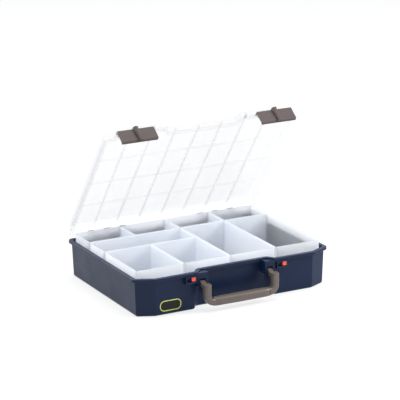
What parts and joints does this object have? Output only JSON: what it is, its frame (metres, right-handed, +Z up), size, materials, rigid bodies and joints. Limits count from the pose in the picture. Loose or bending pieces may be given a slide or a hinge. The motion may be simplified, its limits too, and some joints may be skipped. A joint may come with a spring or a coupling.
{
  "type": "compartment carrying case",
  "caption": "Compartment carrying case: deep base with a rolled rim, clear ribbed lid shown half open, sliding latches, front carrying handle and loose insert trays.",
  "frame": {"origin": "on the floor, in the middle of the base's flat underside", "axes": "+X to the right seen from the handle side, +Y from the handle to the hinge, +Z up"},
  "size_m": [0.337, 0.28, 0.2734],
  "materials": {
    "navy_shell": "fine texture, satin",
    "clear_lid": "clear, polished",
    "latch": "satin",
    "handle": "satin",
    "pin": "drawn",
    "indicator": "satin",
    "badge": "plain, with a yellow edge",
    "tray": "translucent, satin"
  },
  "bodies": {
    "base": {"base_shell": "navy_shell", "handle_pin_left": "pin", "handle_pin_right": "pin", "hinge_pin_left": "pin", "hinge_pin_right": "pin", "lock_indicator_left": "indicator", "lock_indicator_right": "indicator", "front_badge": "badge"},
    "lid": {"lid": "clear_lid"},
    "latch_left": {"latch_left": "latch"},
    "latch_right": {"latch_right": "latch"},
    "handle": {"handle": "handle"},
    "tray_back_1": {"tray_back_1": "tray"},
    "tray_back_2": {"tray_back_2": "tray"},
    "tray_back_3": {"tray_back_3": "tray"},
    "tray_back_4": {"tray_back_4": "tray"},
    "tray_wide": {"tray_wide": "tray"},
    "tray_square_1": {"tray_square_1": "tray"},
    "tray_square_2": {"tray_square_2": "tray"},
    "tray_long_1": {"tray_long_1": "tray"},
    "tray_long_2": {"tray_long_2": "tray"}
  },
  "joints": [
    {"name": "lid_hinge", "type": "hinge", "parent": "base", "child": "lid", "pos_m": [0, 0.1265, 0.0642], "axis": [-1, 0, 0], "range_deg": [-52.4, 57.6]},
    {"name": "latch_left_slide", "type": "slide", "parent": "lid", "child": "latch_left", "axis": [1, 0, 0], "range_m": [0, 0.02]},
    {"name": "latch_right_slide", "type": "slide", "parent": "lid", "child": "latch_right", "axis": [-1, 0, 0], "range_m": [0, 0.02]},
    {"name": "handle_swing", "type": "hinge", "parent": "base", "child": "handle", "pos_m": [0, -0.1218, 0.0427], "axis": [-1, 0, 0], "range_deg": [0, 58]},
    {"name": "tray_back_1_lift", "type": "slide", "parent": "base", "child": "tray_back_1", "axis": [0, 0, 1], "range_m": [0, 0.012]},
    {"name": "tray_back_2_lift", "type": "slide", "parent": "base", "child": "tray_back_2", "axis": [0, 0, 1], "range_m": [0, 0.012]},
    {"name": "tray_back_3_lift", "type": "slide", "parent": "base", "child": "tray_back_3", "axis": [0, 0, 1], "range_m": [0, 0.012]},
    {"name": "tray_back_4_lift", "type": "slide", "parent": "base", "child": "tray_back_4", "axis": [0, 0, 1], "range_m": [0, 0.012]},
    {"name": "tray_wide_lift", "type": "slide", "parent": "base", "child": "tray_wide", "axis": [0, 0, 1], "range_m": [0, 0.07]},
    {"name": "tray_square_1_lift", "type": "slide", "parent": "base", "child": "tray_square_1", "axis": [0, 0, 1], "range_m": [0, 0.07]},
    {"name": "tray_square_2_lift", "type": "slide", "parent": "base", "child": "tray_square_2", "axis": [0, 0, 1], "range_m": [0, 0.07]},
    {"name": "tray_long_1_lift", "type": "slide", "parent": "base", "child": "tray_long_1", "axis": [0, 0, 1], "range_m": [0, 0.07]},
    {"name": "tray_long_2_lift", "type": "slide", "parent": "base", "child": "tray_long_2", "axis": [0, 0, 1], "range_m": [0, 0.07]}
  ]
}
